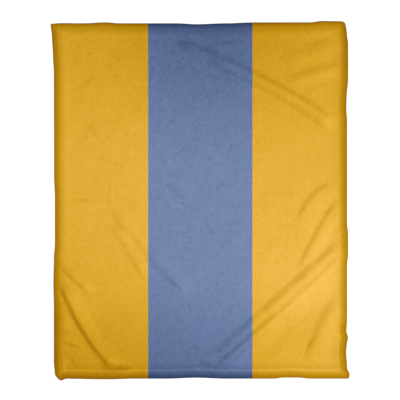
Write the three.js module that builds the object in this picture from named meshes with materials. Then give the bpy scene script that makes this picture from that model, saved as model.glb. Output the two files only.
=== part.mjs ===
// A fleece throw blanket, spread out flat, as one closed body of cloth.
// Sizes are in millimetres. +X is its right side, +Y its top edge, +Z is up from the surface it lies on.

import * as THREE from 'three';
import { ConvexHull } from 'three/addons/math/ConvexHull.js';

// Finished size, between straight lines laid along the edges
const WIDTH = 1260;
const LENGTH = 1528;

// Colour of the fleece
const MUSTARD = 0xdcaa37;

// The hem from its underside, round the rim and over to the field: a double layer, held by a row of
// stitches in a shallow groove. Inset is the distance from the rim, height the distance above the surface.
const HEM = [
  { inset: 50, height: 0 },
  { inset: 5, height: 0 },
  { inset: 0, height: 2 },
  { inset: 0, height: 4.4 },
  { inset: 5, height: 6.4 },
  { inset: 25, height: 6.4 },
  { inset: 34, height: 4.4 },
  { inset: 50, height: 3 },
];
const FIELD_INSET = 50;
const FIELD_THICKNESS = 3;

// How far each edge strays outward from its straight line, at places along it
const LEFT_EDGE = [
  { along: -764, out: -12 },
  { along: -742, out: -4 },
  { along: -690, out: 0 },
  { along: -460, out: 0 },
  { along: -355, out: 2 },
  { along: -250, out: 0 },
  { along: -180, out: -4.5 },
  { along: 10, out: -4.5 },
  { along: 110, out: -1 },
  { along: 550, out: 0 },
  { along: 628, out: 4 },
  { along: 705, out: 8 },
  { along: 764, out: 14 },
];
const RIGHT_EDGE = [
  { along: -764, out: 8 },
  { along: -746, out: 11 },
  { along: -718, out: 0 },
  { along: -645, out: -4 },
  { along: -615, out: -1 },
  { along: -587, out: 4 },
  { along: -560, out: -3 },
  { along: -510, out: 0 },
  { along: -275, out: 0 },
  { along: -226, out: 4.5 },
  { along: -148, out: 4.5 },
  { along: -95, out: 0 },
  { along: 345, out: 0 },
  { along: 395, out: -3.5 },
  { along: 445, out: -2 },
  { along: 525, out: 4.5 },
  { along: 675, out: 4.5 },
  { along: 705, out: 0 },
  { along: 764, out: -7 },
];
const TOP_EDGE = [
  { along: -630, out: -3 },
  { along: -585, out: 0 },
  { along: -508, out: -1 },
  { along: -405, out: 3 },
  { along: -350, out: -1 },
  { along: -100, out: -1 },
  { along: -20, out: -5 },
  { along: 110, out: -1 },
  { along: 240, out: 3 },
  { along: 470, out: 3 },
  { along: 525, out: 9 },
  { along: 630, out: 7.5 },
];
const BOTTOM_EDGE = [
  { along: -630, out: 1 },
  { along: -612, out: 8 },
  { along: -586, out: 0.5 },
  { along: -405, out: 3 },
  { along: -276, out: 0 },
  { along: -147, out: 0 },
  { along: -20, out: -4 },
  { along: 110, out: 0 },
  { along: 318, out: 0 },
  { along: 355, out: -4.5 },
  { along: 420, out: -4.5 },
  { along: 472, out: 0 },
  { along: 630, out: 0 },
];

// How far into the cloth a stray edge pulls it along
const STRAY_REACH = 160;

// Rounding of the four corners, by the signs of x and y there
const CORNERS = [
  { x: -1, y: 1, radius: 5 },
  { x: 1, y: 1, radius: 16 },
  { x: -1, y: -1, radius: 12 },
  { x: 1, y: -1, radius: 6 },
];

// The main folds. Each follows a curve through three points and fades out towards both ends. Left and right
// are how wide it spreads on each side of that curve, looking from its first point to its last. A swell is
// a broad low rise.
const FOLDS = [
  { name: 'lower left ridge', height: 8.6, left: 60, right: 25,
    from: [-598, -336], via: [-494, -560], to: [-356, -727] },
  { name: 'corner swell', height: 2.5, left: 30, right: 60,
    from: [-616, -455], via: [-545, -613], to: [-425, -743] },
  { name: 'foot ridge', height: 4.5, left: 26, right: 26,
    from: [-425, -722], via: [-345, -731], to: [-262, -732] },
  { name: 'left ridge', height: 5, left: 45, right: 25,
    from: [-609, -264], via: [-526, -342], to: [-447, -404] },
  { name: 'left outer ridge', height: 2.8, left: 50, right: 26,
    from: [-387, -88], via: [-305, -211], to: [-225, -341] },
  { name: 'left inner ridge', height: 2.6, left: 45, right: 22,
    from: [-382, -32], via: [-300, -133], to: [-205, -242] },
  { name: 'centre ridge', height: 4.8, left: 50, right: 37,
    from: [-252, -196], via: [-140, -304], to: [-40, -416] },
  { name: 'top right ridge', height: 6.4, left: 34, right: 50,
    from: [-108, 683], via: [269, 519], to: [603, 313] },
  { name: 'top lower ridge', height: 4.4, left: 50, right: 30,
    from: [22, 603], via: [297, 482], to: [590, 287] },
  { name: 'top short ridge', height: 3.1, left: 35, right: 50,
    from: [360, 504], via: [480, 545], to: [612, 581] },
  { name: 'top corner swell', height: 2.2, left: 45, right: 52,
    from: [340, 590], via: [470, 632], to: [610, 665] },
  { name: 'right upper ridge', height: 3.3, left: 85, right: 31,
    from: [604, 69], via: [490, 13], to: [420, -126] },
  { name: 'right lower ridge', height: 3.3, left: 60, right: 28,
    from: [605, 15], via: [512, -137], to: [420, -315] },
  { name: 'lower right ridge', height: 5, left: 75, right: 40,
    from: [612, -180], via: [440, -340], to: [250, -507] },
  { name: 'right ridge foot', height: 3.2, left: 60, right: 38,
    from: [290, -472], via: [180, -570], to: [62, -676] },
  { name: 'second ridge', height: 3.2, left: 85, right: 29,
    from: [616, -238], via: [480, -366], to: [300, -523] },
  { name: 'second ridge foot', height: 4.6, left: 85, right: 29,
    from: [345, -482], via: [210, -602], to: [60, -731] },
  { name: 'right short ridge', height: 4.4, left: 80, right: 44,
    from: [606, -416], via: [530, -539], to: [472, -706] },
];
const FOLD_FADE = 80;

// Spacing of the points that the surfaces are built on. Rows of points follow each fold, at these parts of
// its spread from its crest.
const RIM_STEP = 32;
const CORNER_STOPS = [6, 16, 34];
const FOLD_ROWS = [0, 0.5, 1];
const FOLD_STEP = 20;
const FOLD_POINT_GAP = 12;
const FIELD_STEP = 46;
const FIELD_POINT_GAP = 18;
const BORDER_GAP = 14;
const CURVE_PARTS = 14;

// Scales the height of the bowl that plan points are lifted onto, to join them into triangles
const BOWL_DEPTH = 1000;
const STEEPEST_BOWL_NORMAL = -0.01;

function ease(part) {
  return part * part * (3 - 2 * part);
}

// How far an edge strays at a place along it, read smoothly between the rows of its table
function strayAt(edge, place) {
  const last = edge[edge.length - 1];
  if (place <= edge[0].along) {
    return edge[0].out;
  }
  if (place >= last.along) {
    return last.out;
  }
  const next = edge.findIndex((row) => row.along >= place);
  const before = edge[next - 1];
  const after = edge[next];
  const part = (place - before.along) / (after.along - before.along);
  return before.out + (after.out - before.out) * ease(part);
}

function reachOf(distance) {
  return 1 - ease(Math.min(Math.max(distance / STRAY_REACH, 0), 1));
}

// Presses the square corner of the plain rectangle into a quarter round
function roundCorner(x, y) {
  const corner = CORNERS.find((one) => one.x * x >= 0 && one.y * y >= 0);
  const radius = corner.radius;
  const pastX = (Math.abs(x) - WIDTH / 2 + radius) / radius;
  const pastY = (Math.abs(y) - LENGTH / 2 + radius) / radius;
  if (pastX <= 0 || pastY <= 0) {
    return [x, y];
  }
  const roundX = pastX * Math.sqrt(1 - pastY * pastY / 2);
  const roundY = pastY * Math.sqrt(1 - pastX * pastX / 2);
  return [
    corner.x * (WIDTH / 2 - radius + roundX * radius),
    corner.y * (LENGTH / 2 - radius + roundY * radius),
  ];
}

// Moves a point of the plain rectangle to where it lies in the throw, with its uneven edges
function layOut(plainX, plainY) {
  const [x, y] = roundCorner(plainX, plainY);
  const toLeft = strayAt(LEFT_EDGE, plainY) * reachOf(x + WIDTH / 2);
  const toRight = strayAt(RIGHT_EDGE, plainY) * reachOf(WIDTH / 2 - x);
  const toTop = strayAt(TOP_EDGE, plainX) * reachOf(LENGTH / 2 - y);
  const toBottom = strayAt(BOTTOM_EDGE, plainX) * reachOf(y + LENGTH / 2);
  return [x + toRight - toLeft, y + toTop - toBottom];
}

// The crest of a fold as a smooth curve through its three points
function crestOf(fold) {
  const from = new THREE.Vector2(...fold.from);
  const via = new THREE.Vector2(...fold.via);
  const to = new THREE.Vector2(...fold.to);
  const pull = via.clone().multiplyScalar(2).sub(from.clone().add(to).multiplyScalar(0.5));
  return new THREE.QuadraticBezierCurve(from, pull, to);
}

const CRESTS = FOLDS.map((fold) => {
  const crest = crestOf(fold);
  return { ...fold, points: crest.getSpacedPoints(CURVE_PARTS), length: crest.getLength() };
});

// Height of one fold over a point: full along its curve, easing to nothing at both feet and both ends
function foldHeight(fold, x, y) {
  let nearest = { distance: Infinity };
  for (let part = 0; part < CURVE_PARTS; part += 1) {
    const start = fold.points[part];
    const end = fold.points[part + 1];
    const runX = end.x - start.x;
    const runY = end.y - start.y;
    const along = ((x - start.x) * runX + (y - start.y) * runY) / (runX * runX + runY * runY);
    const held = Math.min(Math.max(along, 0), 1);
    const offX = x - start.x - runX * held;
    const offY = y - start.y - runY * held;
    const distance = Math.hypot(offX, offY);
    if (distance < nearest.distance) {
      nearest = { distance, part: part + held, onLeft: runX * offY - runY * offX > 0 };
    }
  }
  const spread = nearest.onLeft ? fold.left : fold.right;
  if (nearest.distance >= spread) {
    return 0;
  }
  const across = (1 + Math.cos(Math.PI * nearest.distance / spread)) / 2;
  const fromStart = fold.length * nearest.part / CURVE_PARTS;
  const toEnd = fold.length - fromStart;
  const fade = Math.min(FOLD_FADE, fold.length / 2);
  const lengthwise = ease(Math.min(fromStart / fade, 1)) * ease(Math.min(toEnd / fade, 1));
  return fold.height * across * lengthwise;
}

// How far the cloth's underside is off the surface: all folds together, and never below it
function liftAt(x, y) {
  return Math.max(CRESTS.reduce((lift, fold) => lift + foldHeight(fold, x, y), 0), 0);
}

// Stops along one side of the plain rectangle, closer together near its corners
function stopsAlong(half) {
  const inner = half - CORNER_STOPS[CORNER_STOPS.length - 1];
  const steps = Math.ceil(2 * inner / RIM_STEP);
  const stops = [];
  for (let step = 0; step <= steps; step += 1) {
    stops.push(-inner + 2 * inner * step / steps);
  }
  const beforeCorner = CORNER_STOPS.slice(0, -1);
  const lower = beforeCorner.map((stop) => stop - half);
  const upper = beforeCorner.map((stop) => half - stop).reverse();
  return [-half, ...lower, ...stops, ...upper];
}

// One closed row of points round the plain rectangle, anticlockwise, at a distance inside its rim
function rowAround(inset) {
  const halfX = WIDTH / 2;
  const halfY = LENGTH / 2;
  const shrinkX = (halfX - inset) / halfX;
  const shrinkY = (halfY - inset) / halfY;
  const acrossStops = stopsAlong(halfX).map((stop) => stop * shrinkX);
  const upStops = stopsAlong(halfY).map((stop) => stop * shrinkY);
  return [
    ...acrossStops.map((stop) => [stop, inset - halfY]),
    ...upStops.map((stop) => [halfX - inset, stop]),
    ...acrossStops.map((stop) => [-stop, halfY - inset]),
    ...upStops.map((stop) => [inset - halfX, -stop]),
  ];
}

// Points in a row that follows a crest, at an even distance from it, to its left if positive
function rowBeside(crest, offset) {
  const steps = Math.ceil(crest.getLength() / FOLD_STEP);
  const row = [];
  for (let step = 0; step <= steps; step += 1) {
    const point = crest.getPointAt(step / steps);
    const heading = crest.getTangentAt(step / steps);
    row.push([point.x - heading.y * offset, point.y + heading.x * offset]);
  }
  return row;
}

// Points inside the field: every crest first, then the flanks and feet of the folds where there is room,
// then an even spread over the rest
function fieldPoints() {
  const kept = [];
  const limitX = WIDTH / 2 - FIELD_INSET - BORDER_GAP;
  const limitY = LENGTH / 2 - FIELD_INSET - BORDER_GAP;
  const keep = (x, y, gap) => {
    const inside = Math.abs(x) < limitX && Math.abs(y) < limitY;
    if (inside && kept.every((one) => Math.hypot(one[0] - x, one[1] - y) >= gap)) {
      kept.push([x, y]);
    }
  };
  for (const part of FOLD_ROWS) {
    for (const fold of FOLDS) {
      const crest = crestOf(fold);
      for (const offset of [fold.left * part, -fold.right * part]) {
        rowBeside(crest, offset).forEach(([x, y]) => keep(x, y, FOLD_POINT_GAP));
      }
    }
  }
  const rowStep = FIELD_STEP * Math.sqrt(3) / 2;
  const rowCount = Math.floor(limitY / rowStep);
  for (let row = -rowCount; row <= rowCount; row += 1) {
    const shift = (row % 2) * FIELD_STEP / 2;
    for (let x = shift - WIDTH / 2; x < WIDTH / 2; x += FIELD_STEP) {
      keep(x, row * rowStep, FIELD_POINT_GAP);
    }
  }
  return kept;
}

// Joins plan points into even triangles: the underside of the hull round the points lifted onto a bowl
function joinPoints(points) {
  const lifted = points.map(([x, y]) => new THREE.Vector3(x, y, (x * x + y * y) / BOWL_DEPTH));
  const indexOf = new Map(lifted.map((point, index) => [point, index]));
  const hull = new ConvexHull().setFromPoints(lifted);
  const underside = hull.faces.filter((face) => face.normal.z < STEEPEST_BOWL_NORMAL);
  return underside.map((face) => [0, 1, 2].map((edge) => indexOf.get(face.getEdge(edge).head().point)));
}

// The whole throw: hem rows round the rim, joined to the field's upper and lower faces
function throwGeometry() {
  const positions = [];
  const faces = [];
  const addVertex = ([x, y], height) => {
    positions.push(...layOut(x, y), height + liftAt(x, y));
    return positions.length / 3 - 1;
  };
  const rows = HEM.map(({ inset, height }) => rowAround(inset).map((point) => addVertex(point, height)));
  for (let row = 0; row < rows.length - 1; row += 1) {
    const count = rows[row].length;
    for (let stop = 0; stop < count; stop += 1) {
      const next = (stop + 1) % count;
      const near = rows[row];
      const far = rows[row + 1];
      faces.push(near[stop], near[next], far[next], near[stop], far[next], far[stop]);
    }
  }
  const border = rowAround(FIELD_INSET);
  const inner = fieldPoints();
  const lower = [...rows[0], ...inner.map((point) => addVertex(point, 0))];
  const upper = [...rows[rows.length - 1], ...inner.map((point) => addVertex(point, FIELD_THICKNESS))];
  for (const [first, second, third] of joinPoints([...border, ...inner])) {
    faces.push(lower[first], lower[second], lower[third]);
    faces.push(upper[first], upper[third], upper[second]);
  }
  const geometry = new THREE.BufferGeometry();
  geometry.setAttribute('position', new THREE.Float32BufferAttribute(positions, 3));
  geometry.setIndex(faces);
  return geometry;
}

// Centres the throw on the origin in plan, lying on the surface
function centre(geometry) {
  geometry.computeBoundingBox();
  const { min, max } = geometry.boundingBox;
  geometry.translate(-(min.x + max.x) / 2, -(min.y + max.y) / 2, -min.z);
  geometry.computeVertexNormals();
  return geometry;
}

const fleece = new THREE.MeshStandardMaterial({ color: MUSTARD, roughness: 0.95, metalness: 0 });
const cloth = new THREE.Mesh(centre(throwGeometry()), fleece);
cloth.name = 'throw';

const part = new THREE.Group();
part.add(cloth);

export default part;
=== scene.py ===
"""A mustard and blue fleece throw, spread out flat on a pale floor. Lengths are in metres."""

import math
from collections import namedtuple

import bpy
import numpy as np
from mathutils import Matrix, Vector


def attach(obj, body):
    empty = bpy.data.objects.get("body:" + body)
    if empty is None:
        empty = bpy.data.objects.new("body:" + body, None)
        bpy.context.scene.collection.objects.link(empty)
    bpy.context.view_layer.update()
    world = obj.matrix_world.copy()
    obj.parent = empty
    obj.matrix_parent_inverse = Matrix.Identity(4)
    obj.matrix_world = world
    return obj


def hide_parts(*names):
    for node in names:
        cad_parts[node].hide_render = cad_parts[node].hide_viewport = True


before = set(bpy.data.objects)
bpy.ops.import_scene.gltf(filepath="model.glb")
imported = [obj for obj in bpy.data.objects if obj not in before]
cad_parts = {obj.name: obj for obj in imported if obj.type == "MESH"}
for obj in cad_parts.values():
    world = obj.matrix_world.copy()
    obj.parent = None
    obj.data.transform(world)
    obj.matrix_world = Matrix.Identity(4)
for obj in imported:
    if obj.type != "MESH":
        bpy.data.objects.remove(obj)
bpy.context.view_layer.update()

# Finished size between straight lines laid along the edges
WIDTH = 1.260
LENGTH = 1.528

# The middle band, from one straight edge to the other, measured across from the throw's centre line
BAND_LEFT = -0.225
BAND_RIGHT = 0.223

# How far each edge strays outward from its straight line, at places along it
Stray = namedtuple("Stray", "along out")
LEFT_EDGE = [
    Stray(-0.764, -0.012),
    Stray(-0.742, -0.004),
    Stray(-0.690, 0.000),
    Stray(-0.460, 0.000),
    Stray(-0.355, 0.002),
    Stray(-0.250, 0.000),
    Stray(-0.180, -0.0045),
    Stray(0.010, -0.0045),
    Stray(0.110, -0.001),
    Stray(0.550, 0.000),
    Stray(0.628, 0.004),
    Stray(0.705, 0.008),
    Stray(0.764, 0.014),
]
RIGHT_EDGE = [
    Stray(-0.764, 0.008),
    Stray(-0.746, 0.011),
    Stray(-0.718, 0.000),
    Stray(-0.645, -0.004),
    Stray(-0.615, -0.001),
    Stray(-0.587, 0.004),
    Stray(-0.560, -0.003),
    Stray(-0.510, 0.000),
    Stray(-0.275, 0.000),
    Stray(-0.226, 0.0045),
    Stray(-0.148, 0.0045),
    Stray(-0.095, 0.000),
    Stray(0.345, 0.000),
    Stray(0.395, -0.0035),
    Stray(0.445, -0.002),
    Stray(0.525, 0.0045),
    Stray(0.675, 0.0045),
    Stray(0.705, 0.000),
    Stray(0.764, -0.007),
]
TOP_EDGE = [
    Stray(-0.630, -0.003),
    Stray(-0.585, 0.000),
    Stray(-0.508, -0.001),
    Stray(-0.405, 0.003),
    Stray(-0.350, -0.001),
    Stray(-0.100, -0.001),
    Stray(-0.020, -0.005),
    Stray(0.110, -0.001),
    Stray(0.240, 0.003),
    Stray(0.470, 0.003),
    Stray(0.525, 0.009),
    Stray(0.630, 0.0075),
]
BOTTOM_EDGE = [
    Stray(-0.630, 0.001),
    Stray(-0.612, 0.008),
    Stray(-0.586, 0.0005),
    Stray(-0.405, 0.003),
    Stray(-0.276, 0.000),
    Stray(-0.147, 0.000),
    Stray(-0.020, -0.004),
    Stray(0.110, 0.000),
    Stray(0.318, 0.000),
    Stray(0.355, -0.0045),
    Stray(0.420, -0.0045),
    Stray(0.472, 0.000),
    Stray(0.630, 0.000),
]
STRAY_REACH = 0.160

# Rounding of the four corners, by the signs of x and y there
Corner = namedtuple("Corner", "x y radius")
CORNERS = [
    Corner(-1, 1, 0.005),
    Corner(1, 1, 0.016),
    Corner(-1, -1, 0.012),
    Corner(1, -1, 0.006),
]

# The main folds, as the solid has them: curves through three points, with how wide each spreads on its
# left and right, looking from its first point to its last
Fold = namedtuple("Fold", "name height left right start middle end")
FOLDS = [
    Fold("lower left ridge", 0.0086, 0.060, 0.025, (-0.598, -0.336), (-0.494, -0.560), (-0.356, -0.727)),
    Fold("corner swell", 0.0025, 0.030, 0.060, (-0.616, -0.455), (-0.545, -0.613), (-0.425, -0.743)),
    Fold("foot ridge", 0.0045, 0.026, 0.026, (-0.425, -0.722), (-0.345, -0.731), (-0.262, -0.732)),
    Fold("left ridge", 0.0050, 0.045, 0.025, (-0.609, -0.264), (-0.526, -0.342), (-0.447, -0.404)),
    Fold("left outer ridge", 0.0028, 0.050, 0.026, (-0.387, -0.088), (-0.305, -0.211), (-0.225, -0.341)),
    Fold("left inner ridge", 0.0026, 0.045, 0.022, (-0.382, -0.032), (-0.300, -0.133), (-0.205, -0.242)),
    Fold("centre ridge", 0.0048, 0.050, 0.037, (-0.252, -0.196), (-0.140, -0.304), (-0.040, -0.416)),
    Fold("top right ridge", 0.0064, 0.034, 0.050, (-0.108, 0.683), (0.269, 0.519), (0.603, 0.313)),
    Fold("top lower ridge", 0.0044, 0.050, 0.030, (0.022, 0.603), (0.297, 0.482), (0.590, 0.287)),
    Fold("top short ridge", 0.0031, 0.035, 0.050, (0.360, 0.504), (0.480, 0.545), (0.612, 0.581)),
    Fold("top corner swell", 0.0022, 0.045, 0.052, (0.340, 0.590), (0.470, 0.632), (0.610, 0.665)),
    Fold("right upper ridge", 0.0033, 0.085, 0.031, (0.604, 0.069), (0.490, 0.013), (0.420, -0.126)),
    Fold("right lower ridge", 0.0033, 0.060, 0.028, (0.605, 0.015), (0.512, -0.137), (0.420, -0.315)),
    Fold("lower right ridge", 0.0050, 0.075, 0.040, (0.612, -0.180), (0.440, -0.340), (0.250, -0.507)),
    Fold("right ridge foot", 0.0032, 0.060, 0.038, (0.290, -0.472), (0.180, -0.570), (0.062, -0.676)),
    Fold("second ridge", 0.0032, 0.085, 0.029, (0.616, -0.238), (0.480, -0.366), (0.300, -0.523)),
    Fold("second ridge foot", 0.0046, 0.085, 0.029, (0.345, -0.482), (0.210, -0.602), (0.060, -0.731)),
    Fold("right short ridge", 0.0044, 0.080, 0.044, (0.606, -0.416), (0.530, -0.539), (0.472, -0.706)),
]
FOLD_FADE = 0.080
CURVE_PARTS = 14

# Small creases in the face of the cloth only, most of them troughs
CREASES = [
    Fold("packing fold left", -0.0002, 0.011, 0.011, (-0.590, 0.004), (-0.440, 0.004), (-0.290, 0.007)),
    Fold("packing fold right", -0.0002, 0.011, 0.011, (0.240, 0.032), (0.340, 0.034), (0.445, 0.031)),
    Fold("packing fold across", -0.0002, 0.011, 0.011, (0.060, -0.014), (0.130, -0.020), (0.205, -0.012)),
    Fold("packing fold up", -0.00012, 0.013, 0.013, (-0.020, 0.620), (-0.028, 0.440), (-0.024, 0.230)),
    Fold("left pucker", -0.0004, 0.013, 0.011, (-0.160, 0.078), (-0.120, 0.048), (-0.072, 0.006)),
    Fold("centre arc", -0.0004, 0.011, 0.011, (-0.112, 0.202), (-0.082, 0.219), (-0.058, 0.258)),
    Fold("crow foot left", -0.0005, 0.010, 0.010, (0.044, 0.250), (0.068, 0.233), (0.092, 0.213)),
    Fold("crow foot right", -0.0005, 0.010, 0.010, (0.146, 0.256), (0.128, 0.232), (0.110, 0.206)),
    Fold("under centre", -0.0004, 0.011, 0.011, (0.014, -0.066), (0.032, -0.102), (0.056, -0.146)),
    Fold("low centre", -0.0003, 0.011, 0.011, (-0.074, -0.076), (-0.056, -0.108), (-0.040, -0.134)),
    Fold("top star left arm", -0.0005, 0.015, 0.013, (-0.112, 0.680), (-0.062, 0.684), (-0.010, 0.676)),
    Fold("top star right arm", -0.0003, 0.013, 0.013, (-0.008, 0.648), (0.030, 0.644), (0.082, 0.634)),
    Fold("top star upper arm", -0.00025, 0.012, 0.012, (0.000, 0.655), (0.085, 0.676), (0.180, 0.692)),
    Fold("top left crease", -0.0002, 0.012, 0.012, (-0.558, 0.476), (-0.508, 0.502), (-0.452, 0.534)),
    Fold("top left faint", -0.0002, 0.012, 0.012, (-0.410, 0.650), (-0.378, 0.626), (-0.340, 0.600)),
    Fold("top left lower faint", -0.0002, 0.012, 0.012, (-0.440, 0.602), (-0.392, 0.570), (-0.350, 0.520)),
    Fold("left crease upper", -0.0004, 0.010, 0.010, (-0.502, 0.342), (-0.470, 0.310), (-0.434, 0.266)),
    Fold("left crease lower", 0.0002, 0.014, 0.014, (-0.316, 0.288), (-0.276, 0.314), (-0.226, 0.344)),
    Fold("left line one", -0.0004, 0.011, 0.011, (-0.384, -0.056), (-0.354, -0.098), (-0.324, -0.138)),
    Fold("left line two", -0.0003, 0.011, 0.011, (-0.296, -0.262), (-0.266, -0.304), (-0.236, -0.350)),
    Fold("left fold start", -0.0004, 0.013, 0.013, (-0.598, -0.285), (-0.572, -0.312), (-0.540, -0.346)),
    Fold("centre line end", -0.0004, 0.011, 0.011, (-0.150, -0.318), (-0.118, -0.352), (-0.076, -0.392)),
    Fold("crease foot", -0.0004, 0.012, 0.012, (-0.424, -0.684), (-0.372, -0.711), (-0.290, -0.716)),
    Fold("over the crease foot", 0.0003, 0.013, 0.013, (-0.398, -0.674), (-0.345, -0.692), (-0.285, -0.699)),
    Fold("top right line", -0.0003, 0.011, 0.011, (0.228, 0.548), (0.375, 0.479), (0.545, 0.374)),
    Fold("top short end", -0.0003, 0.011, 0.011, (0.515, 0.562), (0.560, 0.582), (0.604, 0.600)),
    Fold("first line join", -0.0003, 0.012, 0.012, (0.295, -0.446), (0.240, -0.486), (0.180, -0.540)),
    Fold("second line join", -0.0003, 0.012, 0.012, (0.400, -0.426), (0.345, -0.469), (0.285, -0.512)),
    Fold("short line end", -0.0004, 0.012, 0.012, (0.484, -0.584), (0.463, -0.626), (0.448, -0.682)),
    Fold("bottom crease", -0.0004, 0.012, 0.012, (-0.010, -0.686), (0.034, -0.705), (0.084, -0.724)),
    Fold("corner wrinkle top", -0.0003, 0.011, 0.011, (-0.602, -0.562), (-0.565, -0.567), (-0.525, -0.574)),
    Fold("corner wrinkle one", -0.0005, 0.013, 0.013, (-0.598, -0.604), (-0.562, -0.614), (-0.515, -0.630)),
    Fold("corner wrinkle two", -0.0005, 0.013, 0.013, (-0.594, -0.644), (-0.566, -0.668), (-0.538, -0.705)),
    Fold("top right faint", -0.0003, 0.012, 0.012, (0.430, 0.668), (0.500, 0.680), (0.556, 0.698)),
    Fold("right crease", 0.00015, 0.013, 0.013, (0.258, -0.306), (0.300, -0.252), (0.345, -0.195)),
    Fold("left hem line", 0.0003, 0.005, 0.005, (-0.595, -0.390), (-0.594, -0.570), (-0.590, -0.745)),
    Fold("right hem line", 0.0002, 0.004, 0.004, (0.594, -0.450), (0.594, -0.600), (0.592, -0.725)),
    Fold("right hem seam", -0.0003, 0.004, 0.004, (0.599, -0.450), (0.600, -0.600), (0.598, -0.725)),
]
CREASE_FADE = 0.022

# Short straight dents and rises in the face only: middle, length, heading in degrees and height
Dent = namedtuple("Dent", "x y length heading height")
DENTS = [
    Dent(-0.474, 0.634, 0.044, 15, -0.0006),
    Dent(-0.540, 0.598, 0.038, 45, -0.0005),
    Dent(-0.526, 0.662, 0.038, 55, -0.0004),
    Dent(-0.477, 0.684, 0.036, -25, -0.0004),
    Dent(-0.283, 0.676, 0.034, 10, -0.0004),
    Dent(-0.126, 0.640, 0.060, -5, -0.0003),
    Dent(-0.166, 0.387, 0.040, 60, -0.0004),
    Dent(-0.150, 0.428, 0.062, 30, 0.0003),
    Dent(-0.082, 0.390, 0.044, -75, 0.0003),
    Dent(0.320, 0.678, 0.034, 5, -0.0004),
    Dent(0.350, 0.616, 0.044, 5, -0.0004),
    Dent(0.470, 0.640, 0.050, 90, -0.0002),
    Dent(0.176, 0.256, 0.028, 90, -0.0005),
    Dent(0.241, 0.254, 0.030, 60, -0.0004),
    Dent(0.096, 0.194, 0.028, 80, -0.0004),
    Dent(0.118, 0.188, 0.030, 75, -0.0004),
    Dent(0.036, 0.184, 0.028, 55, -0.0004),
    Dent(-0.512, 0.270, 0.066, 15, -0.0003),
    Dent(-0.470, 0.258, 0.070, 0, 0.0002),
    Dent(-0.324, 0.285, 0.030, 40, -0.0006),
    Dent(-0.283, 0.284, 0.026, 90, -0.0003),
    Dent(-0.425, 0.185, 0.046, 80, -0.0003),
    Dent(-0.372, 0.160, 0.046, -10, -0.0003),
    Dent(-0.390, 0.065, 0.050, 90, -0.0003),
    Dent(-0.514, 0.004, 0.060, 0, -0.0004),
    Dent(-0.212, 0.303, 0.030, 0, -0.0004),
    Dent(-0.115, 0.231, 0.050, -5, -0.0003),
    Dent(-0.102, 0.219, 0.050, 15, 0.0003),
    Dent(-0.160, 0.173, 0.034, 0, -0.0005),
    Dent(-0.134, 0.165, 0.056, -70, 0.0006),
    Dent(-0.113, 0.115, 0.056, -5, -0.0003),
    Dent(-0.010, 0.110, 0.060, 0, -0.0002),
    Dent(-0.183, 0.012, 0.050, -35, -0.0005),
    Dent(-0.078, -0.010, 0.032, -15, -0.0007),
    Dent(-0.098, -0.023, 0.060, -5, 0.0004),
    Dent(0.008, -0.008, 0.034, -10, -0.0004),
    Dent(0.073, 0.053, 0.030, 70, -0.0007),
    Dent(0.088, 0.071, 0.034, 10, -0.0005),
    Dent(0.012, 0.063, 0.050, -5, -0.0002),
    Dent(0.171, -0.085, 0.036, 90, -0.0003),
    Dent(-0.176, -0.118, 0.056, -40, -0.0003),
    Dent(-0.140, -0.162, 0.036, -75, -0.0004),
    Dent(-0.043, -0.174, 0.044, -70, -0.0003),
    Dent(-0.325, -0.488, 0.070, 0, -0.0002),
    Dent(-0.050, -0.451, 0.028, -60, -0.0004),
    Dent(-0.016, -0.629, 0.048, -25, -0.0004),
    Dent(0.080, -0.640, 0.034, 80, -0.0004),
    Dent(0.512, -0.484, 0.050, 40, -0.0003),
    Dent(0.508, -0.656, 0.044, 50, -0.0003),
    Dent(-0.587, -0.716, 0.060, 90, 0.0004),
]
DENT_SPREAD = 0.010

# Heights of the upper face over the surface where the cloth lies flat, by distance from the rim, and of the
# underside: the hem's two layers, the stitched groove, and the field easing down off the turned edge
Section = namedtuple("Section", "inset top under")
HEM = [
    Section(0.0000, 0.0032, 0.0032),
    Section(0.0005, 0.0044, 0.0017),
    Section(0.0016, 0.0053, 0.0008),
    Section(0.0034, 0.0058, 0.0003),
    Section(0.0060, 0.0061, 0.0000),
    Section(0.0130, 0.0063, 0.0000),
    Section(0.0200, 0.0063, 0.0000),
    Section(0.0250, 0.0061, 0.0000),
    Section(0.0285, 0.0057, 0.0002),
    Section(0.0315, 0.0054, 0.0004),
    Section(0.0340, 0.0055, 0.0004),
    Section(0.0365, 0.0057, 0.0018),
    Section(0.0400, 0.0057, 0.0026),
    Section(0.0450, 0.0052, 0.0022),
    Section(0.0520, 0.0043, 0.0013),
    Section(0.0600, 0.0035, 0.0005),
    Section(0.0700, 0.0030, 0.0000),
]
STITCH_INSET = 0.0325
GRID_STEP = 0.0066

# Stitches of the hem: threads whose rings lie at shares of the stitch's length, each with a share of its
# radius, and whose underside is sunk into the cloth by a share of that radius
STITCH_LENGTH = 0.0036
STITCH_PITCH = 0.0046
STITCH_RADIUS = 0.0006
STITCH_SINK = 0.7
STITCH_SIDES = 6
STITCH_RINGS = [(-0.5, 0.35), (-0.32, 1.0), (0.32, 1.0), (0.5, 0.35)]

# Uneven lie of the cloth: waves of (length, height, heading in degrees, start)
Wave = namedtuple("Wave", "length height heading start")
WAVES = [
    Wave(0.310, 0.00035, 20, 0.4),
    Wave(0.230, 0.00025, 75, 1.9),
    Wave(0.170, 0.00020, 130, 3.1),
    Wave(0.120, 0.00012, 50, 5.2),
    Wave(0.090, 0.00008, 160, 2.3),
]

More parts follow.
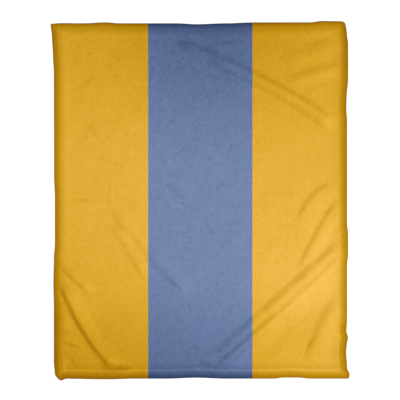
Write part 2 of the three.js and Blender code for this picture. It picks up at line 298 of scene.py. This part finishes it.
# Tones of the fleece in display colours, from the darkest painted shade of its rim to the lightest part of
# its field, and the tone that most of the field has
Tone = namedtuple("Tone", "place yellow blue")
TONES = [
    Tone(0.00, (138, 93, 0), (37, 54, 90)),
    Tone(0.26, (169, 119, 0), (59, 76, 112)),
    Tone(0.53, (196, 144, 13), (82, 99, 139)),
    Tone(0.75, (220, 168, 43), (106, 124, 163)),
    Tone(0.88, (233, 181, 66), (119, 136, 174)),
    Tone(1.00, (245, 193, 87), (131, 148, 185)),
]
FIELD_TONE = 0.86

# Painted shade: how much darker the fleece is by distance from each edge, with a painted light line by the
# bottom hem's stitching
PaintedRimShade = namedtuple("PaintedRimShade", "inset left right top bottom")
PAINTED_RIM_SHADES = [
    PaintedRimShade(0.0000, 0.44, 0.66, 0.66, 0.68),
    PaintedRimShade(0.0060, 0.49, 0.57, 0.46, 0.50),
    PaintedRimShade(0.0130, 0.38, 0.43, 0.30, 0.37),
    PaintedRimShade(0.0200, 0.32, 0.32, 0.22, 0.27),
    PaintedRimShade(0.0250, 0.23, 0.24, 0.16, 0.17),
    PaintedRimShade(0.0285, 0.14, 0.18, 0.13, 0.12),
    PaintedRimShade(0.0315, 0.10, 0.13, 0.11, 0.06),
    PaintedRimShade(0.0340, 0.10, 0.10, 0.10, -0.03),
    PaintedRimShade(0.0365, 0.09, 0.07, 0.09, -0.05),
    PaintedRimShade(0.0400, 0.08, 0.04, 0.07, 0.03),
    PaintedRimShade(0.0450, 0.06, 0.00, 0.04, 0.08),
    PaintedRimShade(0.0600, 0.00, 0.00, 0.00, 0.03),
    PaintedRimShade(0.0750, 0.00, 0.00, 0.00, 0.00),
]

# Painted light and shade: parts of the throw that the photograph shows lighter or darker than its middle,
# most of
# them broad and soft: where each is centred, its reach across and along, and how much lighter it is
Patch = namedtuple("Patch", "name x y reach_x reach_y lighter")
LIGHT_AND_SHADE_PATCHES = [
    Patch("foot", 0.00, -0.80, 1.60, 0.50, -0.20),
    Patch("foot left", -0.55, -0.62, 0.75, 0.60, -0.12),
    Patch("head", 0.00, 0.86, 1.60, 0.80, -0.24),
    Patch("head middle", 0.05, 0.80, 0.55, 0.75, -0.08),
    Patch("head middle rim", 0.00, 0.775, 0.36, 0.050, 0.08),
    Patch("left", -0.75, -0.05, 0.75, 0.90, -0.05),
    Patch("right", 0.50, 0.25, 0.50, 0.40, -0.03),
    Patch("lower right", 0.55, -0.42, 0.50, 0.50, 0.08),
    Patch("foot right", 0.45, -0.78, 0.45, 0.22, 0.12),
    Patch("crease foot", -0.385, -0.695, 0.060, 0.060, -0.09),
    Patch("corner", -0.592, -0.500, 0.045, 0.130, -0.05),
    Patch("beside the left ridge", -0.460, -0.460, 0.060, 0.090, 0.04),
    Patch("top right end", 0.578, 0.325, 0.045, 0.060, -0.07),
]

# Painted shade: how much darker the colour is where the cloth slopes away from the light, and where it is
# steep
AWAY_PAINTED_SHADE = 0.46
STEEP_PAINTED_SHADE = 0.50

# Painted shade in the small creases and dents: how much darker the colour is for each metre of depth, lighter
# on rises
CREASE_PAINTED_SHADE = 200

# How much lighter the thread is than the fleece beside it
THREAD_TONE = 0.02

# How much more the blue shows the unevenness of the pile than the yellow does
BLUE_UNEVEN = 1.5

# Small creases of handled cloth, scattered by chance
CRUMPLE_SEED = 7
CRUMPLE_COUNT = 420
CRUMPLE_HALF_LENGTH = (0.035, 0.110)
CRUMPLE_HALF_WIDTH = (0.010, 0.016)
CRUMPLE_HEIGHT = (0.00010, 0.00034)
CRUMPLE_BEND = 0.014

# Fine unevenness of the pile and thread, as noise
Grain = namedtuple("Grain", "scale detail roughness distortion")
MOTTLE = Grain(55.0, 5.0, 0.7, 0.0)
PILE = Grain(420.0, 3.0, 0.6, 0.0)
BAND_FUR = Grain(700.0, 2.0, 0.5, 0.0)
THREAD_TWIST = Grain(900.0, 2.0, 0.5, 0.0)

# Two sets of streaks in the pile, along headings in degrees, and how far they are drawn out
Streaks = namedtuple("Streaks", "heading grain")
FIRST_STREAKS = Streaks(10, Grain(65.0, 4.0, 0.6, 1.5))
SECOND_STREAKS = Streaks(-60, Grain(80.0, 4.0, 0.6, 1.5))
STREAK_STRETCH = 2.5

# How far the streaks, mottle and twist shift the tone, and how far the fur at the band's edges strays
STREAK_TONE = 0.24
MOTTLE_TONE = 0.17
TWIST_TONE = 0.20
BAND_FUR_WIDTH = 0.0016

# Relief of the pile and thread that only the light shows
Relief = namedtuple("Relief", "strength depth")
STREAK_RELIEF = Relief(0.5, 0.003)
PILE_RELIEF = Relief(0.3, 0.0008)
TWIST_RELIEF = Relief(0.4, 0.0003)

# Finish of the fleece and thread
FLEECE_ROUGHNESS = 0.95
FLEECE_SPECULAR = 0.05
FLEECE_SHEEN = 0.04
SHEEN_ROUGHNESS = 0.5
THREAD_ROUGHNESS = 0.7

# The floor: half its side, and a grey that glows enough to look white
FLOOR_HALF = 6.0
FLOOR_GREY = 0.25
FLOOR_GLOW = 0.85

# The key light: where it comes from, in degrees from the right and above the floor, how soft it is, and
# how strong it and the even white fill are
KEY_HEADING = -30
KEY_HEIGHT = 45
KEY_SOFTNESS = 30
KEY_STRENGTH = 2.25
FILL_STRENGTH = 0.37

# The pool of light over the lower right: the side of its lamp, its power, and where it hangs
POOL_SIDE = 0.9
POOL_POWER = 6
POOL_PLACE = (0.45, -0.30)
POOL_HEIGHT = 2.0

# Where the photograph's frame lies on the throw, and how wide it is there
VIEW_CENTRE = (-0.0007, 0.0032)
VIEW_WIDTH = 1.720
LENS = 85
SENSOR = 36


def ease(part):
    """Nothing to one, with a gentle start and end, and level beyond them."""
    part = np.clip(part, 0.0, 1.0)
    return part * part * (3.0 - 2.0 * part)


def stray_at(edge, place):
    """How far an edge strays at places along it, read smoothly between the rows of its table."""
    stray = np.full(place.shape, edge[0].out)
    for before, after in zip(edge, edge[1:]):
        part = (place - before.along) / (after.along - before.along)
        stray += (after.out - before.out) * ease(part)
    return stray


def round_corners(x, y):
    """Presses the square corners of the plain rectangle into quarter rounds."""
    x, y = x.copy(), y.copy()
    for corner in CORNERS:
        radius = corner.radius
        past_x = (corner.x * x - WIDTH / 2 + radius) / radius
        past_y = (corner.y * y - LENGTH / 2 + radius) / radius
        inside = (past_x > 0) & (past_y > 0)
        a, b = past_x[inside], past_y[inside]
        x[inside] = corner.x * (WIDTH / 2 - radius + radius * a * np.sqrt(1 - b * b / 2))
        y[inside] = corner.y * (LENGTH / 2 - radius + radius * b * np.sqrt(1 - a * a / 2))
    return x, y


def reach_of(distance):
    """How much of an edge's stray is left at distances in from it."""
    return 1.0 - ease(distance / STRAY_REACH)


def lay_out(plain_x, plain_y):
    """Where points of the plain rectangle lie in the throw, with its uneven edges."""
    x, y = round_corners(plain_x, plain_y)
    to_left = stray_at(LEFT_EDGE, plain_y) * reach_of(x + WIDTH / 2)
    to_right = stray_at(RIGHT_EDGE, plain_y) * reach_of(WIDTH / 2 - x)
    to_top = stray_at(TOP_EDGE, plain_x) * reach_of(LENGTH / 2 - y)
    to_bottom = stray_at(BOTTOM_EDGE, plain_x) * reach_of(y + LENGTH / 2)
    return x + to_right - to_left, y + to_top - to_bottom


def curve_through(fold):
    """Points along a fold's curve, and its length."""
    start, middle, end = (np.array(point) for point in (fold.start, fold.middle, fold.end))
    pull = 2 * middle - (start + end) / 2
    part = np.linspace(0, 1, CURVE_PARTS + 1)[:, None]
    points = (1 - part) ** 2 * start + 2 * part * (1 - part) * pull + part ** 2 * end
    return points, np.linalg.norm(np.diff(points, axis=0), axis=1).sum()


def fold_height(fold, x, y, fade):
    """Height of one fold over points: full along its curve, easing to nothing at its feet and its ends."""
    points, length = curve_through(fold)
    nearest = np.full(x.shape, np.inf)
    along = np.zeros(x.shape)
    on_left = np.zeros(x.shape, bool)
    for part in range(CURVE_PARTS):
        start, run = points[part], points[part + 1] - points[part]
        held = np.clip(((x - start[0]) * run[0] + (y - start[1]) * run[1]) / (run @ run), 0, 1)
        off_x = x - start[0] - run[0] * held
        off_y = y - start[1] - run[1] * held
        distance = np.hypot(off_x, off_y)
        closer = distance < nearest
        nearest[closer] = distance[closer]
        along[closer] = (part + held)[closer]
        on_left[closer] = (run[0] * off_y - run[1] * off_x > 0)[closer]
    spread = np.where(on_left, fold.left, fold.right)
    across = (1 + np.cos(np.pi * np.minimum(nearest / spread, 1))) / 2
    from_start = length * along / CURVE_PARTS
    fade = min(fade, length / 2)
    return fold.height * across * ease(from_start / fade) * ease((length - from_start) / fade)


def lift_at(x, y):
    """How far the cloth's underside is off the surface, where it lies flat without its folds."""
    return np.maximum(sum(fold_height(fold, x, y, FOLD_FADE) for fold in FOLDS), 0)


def as_crease(dent):
    """A short dent or rise as a straight crease."""
    heading = math.radians(dent.heading)
    reach_x, reach_y = math.cos(heading) * dent.length / 2, math.sin(heading) * dent.length / 2
    start, end = (dent.x - reach_x, dent.y - reach_y), (dent.x + reach_x, dent.y + reach_y)
    return Fold("dent", dent.height, DENT_SPREAD, DENT_SPREAD, start, (dent.x, dent.y), end)


def crease_at(x, y):
    """Heights of the small creases and dents together."""
    lines = CREASES + [as_crease(dent) for dent in DENTS]
    return sum(fold_height(line, x, y, CREASE_FADE) for line in lines)


def waves_at(x, y):
    """The slight uneven rise and fall of loose cloth."""
    height = np.zeros(x.shape)
    for wave in WAVES:
        heading = math.radians(wave.heading)
        travel = x * math.cos(heading) + y * math.sin(heading)
        height += wave.height * np.sin(2 * np.pi * travel / wave.length + wave.start)
    return height


def hem_section(inset, face):
    """Heights of the hem's top or under face, by distance from the rim."""
    return np.interp(inset, [row.inset for row in HEM], [getattr(row, face) for row in HEM])


def inset_at(x, y):
    """Distances in from the nearest edge of the plain rectangle."""
    return np.minimum(WIDTH / 2 - np.abs(x), LENGTH / 2 - np.abs(y))


def crumple_at(x, y):
    """Heights of many short soft lines, up or down, each slightly bent and lying any way."""
    chance = np.random.default_rng(CRUMPLE_SEED)
    height = np.zeros(x.shape)
    for _ in range(CRUMPLE_COUNT):
        off_x = x - chance.uniform(-WIDTH / 2, WIDTH / 2)
        off_y = y - chance.uniform(-LENGTH / 2, LENGTH / 2)
        heading = chance.uniform(0, math.pi)
        along = (off_x * math.cos(heading) + off_y * math.sin(heading)) / chance.uniform(*CRUMPLE_HALF_LENGTH)
        across = off_y * math.cos(heading) - off_x * math.sin(heading) + CRUMPLE_BEND * along ** 2
        across /= chance.uniform(*CRUMPLE_HALF_WIDTH)
        peak = chance.choice((-1, 1)) * chance.uniform(*CRUMPLE_HEIGHT)
        height += peak * ease(1 - np.abs(along)) * ease(1 - np.abs(across))
    return height


def lie_of(x, y):
    """How the face rises and falls over points of the plain rectangle, apart from its hem."""
    inset = inset_at(x, y)
    loose = ease((inset - STITCH_INSET) / FOLD_FADE)
    fine = crease_at(x, y) * ease(inset / STITCH_INSET) + (waves_at(x, y) + crumple_at(x, y)) * loose
    return lift_at(x, y) + fine


def upper_face(x, y):
    return lie_of(x, y) + hem_section(inset_at(x, y), "top")


def lower_face(x, y):
    return lift_at(x, y) + hem_section(inset_at(x, y), "under")


def side_stops(half):
    """Stops along one side of the plain rectangle, closer together over the hem."""
    hem = [row.inset - half for row in HEM]
    inner = half - HEM[-1].inset
    field = np.linspace(-inner, inner, round(2 * inner / GRID_STEP) + 1)[1:-1]
    return np.concatenate([hem, field, [-stop for stop in reversed(hem)]])


def plan_shift():
    """What centres the laid out rim on the origin in plan."""
    stops_x, stops_y = side_stops(WIDTH / 2), side_stops(LENGTH / 2)
    rim = [(x, y) for x in stops_x for y in (-LENGTH / 2, LENGTH / 2)]
    rim += [(x, y) for y in stops_y for x in (-WIDTH / 2, WIDTH / 2)]
    x, y = lay_out(*np.array(rim).T)
    return -(x.min() + x.max()) / 2, -(y.min() + y.max()) / 2


SHIFT_X, SHIFT_Y = plan_shift()


def place(x, y, z):
    """Points of the laid out throw, for points of the plain rectangle and their heights."""
    laid_x, laid_y = lay_out(x, y)
    return np.stack([laid_x + SHIFT_X, laid_y + SHIFT_Y, z], axis=-1)


def new_object(name, points, faces, material):
    mesh = bpy.data.meshes.new(name)
    mesh.from_pydata([tuple(point) for point in points], [], faces)
    mesh.materials.append(material)
    mesh.shade_smooth()
    mesh.update()
    piece = bpy.data.objects.new(name, mesh)
    bpy.context.scene.collection.objects.link(piece)
    return piece


def broad_tone(x, y):
    """How light level fleece is over points, as a place among the tones: painted shade by each edge, with a
    painted light line by the bottom hem, and the painted light and shade of the patch it is in.
    """
    insets = {"left": x + WIDTH / 2, "right": WIDTH / 2 - x, "top": LENGTH / 2 - y, "bottom": y + LENGTH / 2}
    tone = np.full(x.shape, FIELD_TONE)
    for edge, inset in insets.items():
        shades = [getattr(row, edge) for row in PAINTED_RIM_SHADES]
        shade = np.interp(inset, [row.inset for row in PAINTED_RIM_SHADES], shades)
        tone = np.where(shade < 0, tone - shade, np.minimum(tone, FIELD_TONE - shade))
    for patch in LIGHT_AND_SHADE_PATCHES:
        away = np.hypot((x - patch.x) / patch.reach_x, (y - patch.y) / patch.reach_y)
        tone += patch.lighter * (1 - ease(away))
    return tone


def tone_of(stops_x, stops_y, lie):
    """The broad tone over a grid of points, with painted shade where the cloth slopes away from the light,
    where it is steep and where it is creased.
    """
    slope_x, slope_y = np.gradient(lie, stops_x, stops_y)
    heading = math.radians(KEY_HEADING)
    from_light = slope_x * math.cos(heading) + slope_y * math.sin(heading)
    steepness = slope_x ** 2 + slope_y ** 2
    x, y = np.meshgrid(stops_x, stops_y, indexing="ij")
    tone = broad_tone(x, y) + CREASE_PAINTED_SHADE * crease_at(x, y)
    return tone - AWAY_PAINTED_SHADE * from_light - STEEP_PAINTED_SHADE * steepness


def keep_tones(piece, tones):
    """Writes a tone to every point of a piece, for its material to read."""
    attribute = piece.data.attributes.new("tone", "FLOAT", "POINT")
    attribute.data.foreach_set("value", tones.reshape(-1).astype(np.float32))


def build_cloth(material):
    """The throw as one closed sheet: its upper and lower faces share the row of points along the rim."""
    stops_x, stops_y = side_stops(WIDTH / 2), side_stops(LENGTH / 2)
    x, y = np.meshgrid(stops_x, stops_y, indexing="ij")
    count_x, count_y = x.shape
    upper = np.arange(x.size).reshape(x.shape)
    inner = (slice(1, -1), slice(1, -1))
    lower = upper.copy()
    lower[inner] = x.size + np.arange((count_x - 2) * (count_y - 2)).reshape(count_x - 2, count_y - 2)
    lie = lie_of(x, y)
    top_points = place(x, y, lie + hem_section(inset_at(x, y), "top")).reshape(-1, 3)
    under_points = place(x[inner], y[inner], lower_face(x[inner], y[inner])).reshape(-1, 3)
    faces = []
    for i in range(count_x - 1):
        for j in range(count_y - 1):
            faces.append((upper[i, j], upper[i + 1, j], upper[i + 1, j + 1], upper[i, j + 1]))
            faces.append((lower[i, j], lower[i, j + 1], lower[i + 1, j + 1], lower[i + 1, j]))
    points = np.concatenate([top_points, under_points])
    faces = [tuple(int(corner) for corner in face) for face in faces]
    cloth = new_object("throw_cloth", points, faces, material)
    # The tones carry painted shade and painted light, laid into the colour by place and slope
    tone = tone_of(stops_x, stops_y, lie)
    keep_tones(cloth, np.concatenate([tone.reshape(-1), tone[inner].reshape(-1)]))
    return cloth


def stitch_seats():
    """Middles and headings of the hem's stitches, on the plain rectangle."""
    half_x, half_y = WIDTH / 2 - STITCH_INSET, LENGTH / 2 - STITCH_INSET
    seats = []
    for corner, heading, run in (
        ((-half_x, -half_y), (1, 0), 2 * half_x),
        ((half_x, -half_y), (0, 1), 2 * half_y),
        ((half_x, half_y), (-1, 0), 2 * half_x),
        ((-half_x, half_y), (0, -1), 2 * half_y),
    ):
        count = int(run / STITCH_PITCH)
        for step in range(count):
            along = (step + 0.5) * run / count
            seats.append((corner[0] + heading[0] * along, corner[1] + heading[1] * along, *heading))
    return np.array(seats)


def build_stitches(material):
    """Every stitch of the hem as a short tapered thread lying in its groove, in one mesh."""
    x, y, head_x, head_y = stitch_seats().T
    turns = np.arange(STITCH_SIDES) * 2 * np.pi / STITCH_SIDES
    points = []
    for along, thickness in STITCH_RINGS:
        ring_x = x + head_x * along * STITCH_LENGTH
        ring_y = y + head_y * along * STITCH_LENGTH
        height = upper_face(ring_x, ring_y) + STITCH_RADIUS * (thickness - STITCH_SINK)
        middle = place(ring_x, ring_y, height)
        for turn in turns:
            reach = STITCH_RADIUS * thickness
            side = np.stack([-head_y, head_x, np.zeros(len(x))], axis=-1) * math.cos(turn) * reach
            points.append(middle + side + np.array([0, 0, math.sin(turn) * reach]))
    points = np.stack(points, axis=1)
    each = len(STITCH_RINGS) * STITCH_SIDES
    pattern = [tuple(reversed(range(STITCH_SIDES))), tuple(range(each - STITCH_SIDES, each))]
    for ring in range(len(STITCH_RINGS) - 1):
        for side in range(STITCH_SIDES):
            near, far = ring * STITCH_SIDES, (ring + 1) * STITCH_SIDES
            after = (side + 1) % STITCH_SIDES
            pattern.append((near + side, near + after, far + after, far + side))
    faces = [tuple(seat * each + corner for corner in face) for seat in range(len(x)) for face in pattern]
    stitches = new_object("hem_stitches", points.reshape(-1, 3), faces, material)
    # The thread takes the fleece's tone at its place, painted rim shade, light line and patches included, a
    # little lighter
    keep_tones(stitches, np.repeat(broad_tone(x, y) + THREAD_TONE, each))
    return stitches


def srgb(red, green, blue):
    """A display colour, 0 to 255, as linear red, green, blue and alpha."""
    values = [channel / 255 for channel in (red, green, blue)]
    linear = [v / 12.92 if v <= 0.04045 else ((v + 0.055) / 1.055) ** 2.4 for v in values]
    return (*linear, 1.0)


class Nodes:
    """Short ways to add and join shader nodes of one material."""

    def __init__(self, material):
        material.use_nodes = True
        self.tree = material.node_tree
        self.tree.nodes.clear()

    def add(self, kind, settings=None, **inputs):
        node = self.tree.nodes.new(kind)
        for name, value in (settings or {}).items():
            setattr(node, name, value)
        for name, value in inputs.items():
            self.feed(node.inputs[name.replace("_", " ")], value)
        return node

    def feed(self, socket, value):
        if isinstance(value, bpy.types.NodeSocket):
            self.tree.links.new(value, socket)
        else:
            socket.default_value = value

    def position(self):
        return self.add("ShaderNodeTexCoord").outputs["Object"]

    def noise(self, grain, position):
        node = self.add("ShaderNodeTexNoise", Vector=position, Scale=grain.scale, Detail=grain.detail)
        self.feed(node.inputs["Roughness"], grain.roughness)
        self.feed(node.inputs["Distortion"], grain.distortion)
        return node.outputs["Fac"]

    def bump(self, relief, height):
        return self.add("ShaderNodeBump", Strength=relief.strength, Distance=relief.depth, Height=height)

    def math(self, operation, first, second):
        node = self.add("ShaderNodeMath", {"operation": operation})
        self.feed(node.inputs[0], first)
        self.feed(node.inputs[1], second)
        return node.outputs[0]

    def ramp(self, factor, stops):
        node = self.add("ShaderNodeValToRGB", Fac=factor)
        elements = node.color_ramp.elements
        while len(elements) < len(stops):
            elements.new(0.5)
        for element, (position, colour) in zip(elements, stops):
            element.position = position
            element.color = colour
        return node.outputs["Color"]

    def mix(self, factor, first, second):
        node = self.add("ShaderNodeMix", {"data_type": "RGBA"})
        self.feed(node.inputs[0], factor)
        self.feed(node.inputs[6], first)
        self.feed(node.inputs[7], second)
        return node.outputs[2]


def centred(nodes, factor, reach):
    """A noise factor as a small amount up or down."""
    return nodes.math("MULTIPLY", nodes.math("SUBTRACT", factor, 0.5), reach)


def band_mask(nodes, position):
    """One in the blue band and nothing outside it, with the slight fur of the pile at its edges."""
    across = nodes.add("ShaderNodeSeparateXYZ", Vector=position).outputs["X"]
    stray = centred(nodes, nodes.noise(BAND_FUR, position), BAND_FUR_WIDTH)
    place_x = nodes.math("ADD", across, stray)
    past_left = nodes.math("GREATER_THAN", place_x, BAND_LEFT + SHIFT_X)
    past_right = nodes.math("GREATER_THAN", place_x, BAND_RIGHT + SHIFT_X)
    return nodes.math("SUBTRACT", past_left, past_right)


def dye_with_painted_shade(nodes, position, uneven):
    """The colour at every point: its tone, which carries painted light and shade, in yellow, or in the band's
    blue, which shows uneven pile more.
    """
    broad = nodes.add("ShaderNodeAttribute", {"attribute_name": "tone"}).outputs["Fac"]
    yellow_tone = nodes.math("ADD", broad, uneven)
    blue_tone = nodes.math("ADD", broad, nodes.math("MULTIPLY", uneven, BLUE_UNEVEN))
    yellow = nodes.ramp(yellow_tone, [(row.place, srgb(*row.yellow)) for row in TONES])
    blue = nodes.ramp(blue_tone, [(row.place, srgb(*row.blue)) for row in TONES])
    return nodes.mix(band_mask(nodes, position), yellow, blue)


def drawn_out(nodes, position, streaks):
    """Noise drawn out along the heading of its streaks."""
    turn = (0, 0, -math.radians(streaks.heading))
    turned = nodes.add("ShaderNodeMapping", Vector=position, Rotation=turn).outputs["Vector"]
    stretched = nodes.add("ShaderNodeMapping", Vector=turned, Scale=(1 / STREAK_STRETCH, 1, 1))
    return nodes.noise(streaks.grain, stretched.outputs["Vector"])


def fleece_material():
    """Short-pile fleece: two colours with painted light and shade in them, mottled pile, and fine streaks."""
    material = bpy.data.materials.new("fleece")
    nodes = Nodes(material)
    position = nodes.position()
    first, second = (drawn_out(nodes, position, streaks) for streaks in (FIRST_STREAKS, SECOND_STREAKS))
    rubbed = nodes.math("MULTIPLY", nodes.math("ADD", first, second), 0.5)
    streak_tone = centred(nodes, rubbed, STREAK_TONE)
    mottle_tone = centred(nodes, nodes.noise(MOTTLE, position), MOTTLE_TONE)
    soft = nodes.bump(STREAK_RELIEF, rubbed)
    bump = nodes.bump(PILE_RELIEF, nodes.noise(PILE, position))
    nodes.feed(bump.inputs["Normal"], soft.outputs["Normal"])
    colour = dye_with_painted_shade(nodes, position, nodes.math("ADD", streak_tone, mottle_tone))
    shader = nodes.add("ShaderNodeBsdfPrincipled", Base_Color=colour, Normal=bump.outputs["Normal"])
    shader.inputs["Roughness"].default_value = FLEECE_ROUGHNESS
    shader.inputs["Specular IOR Level"].default_value = FLEECE_SPECULAR
    shader.inputs["Sheen Weight"].default_value = FLEECE_SHEEN
    shader.inputs["Sheen Roughness"].default_value = SHEEN_ROUGHNESS
    nodes.add("ShaderNodeOutputMaterial", Surface=shader.outputs["BSDF"])
    return material


def thread_material():
    """Thread dyed to match the fleece under it, with the fleece's painted shade and painted light in its
    colour too.
    """
    material = bpy.data.materials.new("hem_thread")
    nodes = Nodes(material)
    position = nodes.position()
    twist = nodes.noise(THREAD_TWIST, position)
    colour = dye_with_painted_shade(nodes, position, centred(nodes, twist, TWIST_TONE))
    bump = nodes.bump(TWIST_RELIEF, twist)
    shader = nodes.add("ShaderNodeBsdfPrincipled", Base_Color=colour, Normal=bump.outputs["Normal"])
    shader.inputs["Roughness"].default_value = THREAD_ROUGHNESS
    nodes.add("ShaderNodeOutputMaterial", Surface=shader.outputs["BSDF"])
    return material


def floor_material():
    material = bpy.data.materials.new("pale_floor")
    nodes = Nodes(material)
    shader = nodes.add("ShaderNodeBsdfPrincipled")
    shader.inputs["Base Color"].default_value = (FLOOR_GREY, FLOOR_GREY, FLOOR_GREY, 1)
    shader.inputs["Emission Color"].default_value = (1, 1, 1, 1)
    shader.inputs["Emission Strength"].default_value = FLOOR_GLOW
    shader.inputs["Roughness"].default_value = 1.0
    nodes.add("ShaderNodeOutputMaterial", Surface=shader.outputs["BSDF"])
    return material


def build_floor():
    corners = [(x * FLOOR_HALF, y * FLOOR_HALF, 0) for x, y in ((-1, -1), (1, -1), (1, 1), (-1, 1))]
    floor = new_object("pale_floor", corners, [(0, 1, 2, 3)], floor_material())


def add_lamp(light, toward):
    """Puts a light in the scene, shining along a heading."""
    lamp = bpy.data.objects.new(light.name, light)
    bpy.context.scene.collection.objects.link(lamp)
    lamp.rotation_mode = "QUATERNION"
    lamp.rotation_quaternion = Vector(toward).to_track_quat("-Z", "Y")
    return lamp


def build_key():
    sun = bpy.data.lights.new("key_light", "SUN")
    sun.energy = KEY_STRENGTH
    sun.angle = math.radians(KEY_SOFTNESS)
    heading, height = math.radians(KEY_HEADING), math.radians(KEY_HEIGHT)
    flat = math.cos(height)
    add_lamp(sun, (-math.cos(heading) * flat, -math.sin(heading) * flat, -math.sin(height)))


def build_pool():
    light = bpy.data.lights.new("pool_light", "AREA")
    light.shape = "SQUARE"
    light.size = POOL_SIDE
    light.energy = POOL_POWER
    add_lamp(light, (0, 0, -1)).location = (*POOL_PLACE, POOL_HEIGHT)


def build_fill():
    world = bpy.data.worlds.new("studio")
    bpy.context.scene.world = world
    world.use_nodes = True
    background = world.node_tree.nodes["Background"]
    background.inputs["Color"].default_value = (1, 1, 1, 1)
    background.inputs["Strength"].default_value = FILL_STRENGTH


def build_camera():
    """Straight above the throw, framed as the photograph is."""
    data = bpy.data.cameras.new("camera")
    data.lens = LENS
    data.sensor_width = SENSOR
    camera = bpy.data.objects.new("camera", data)
    bpy.context.scene.collection.objects.link(camera)
    camera.location = (*VIEW_CENTRE, VIEW_WIDTH * LENS / SENSOR)
    bpy.context.scene.camera = camera


def build_throw():
    cloth = build_cloth(fleece_material())
    stitches = build_stitches(thread_material())
    for piece in (cloth, stitches):
        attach(piece, "root")
    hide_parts("throw")


build_throw()
build_floor()
build_key()
build_pool()
build_fill()
build_camera()
bpy.context.scene.view_settings.view_transform = "Standard"
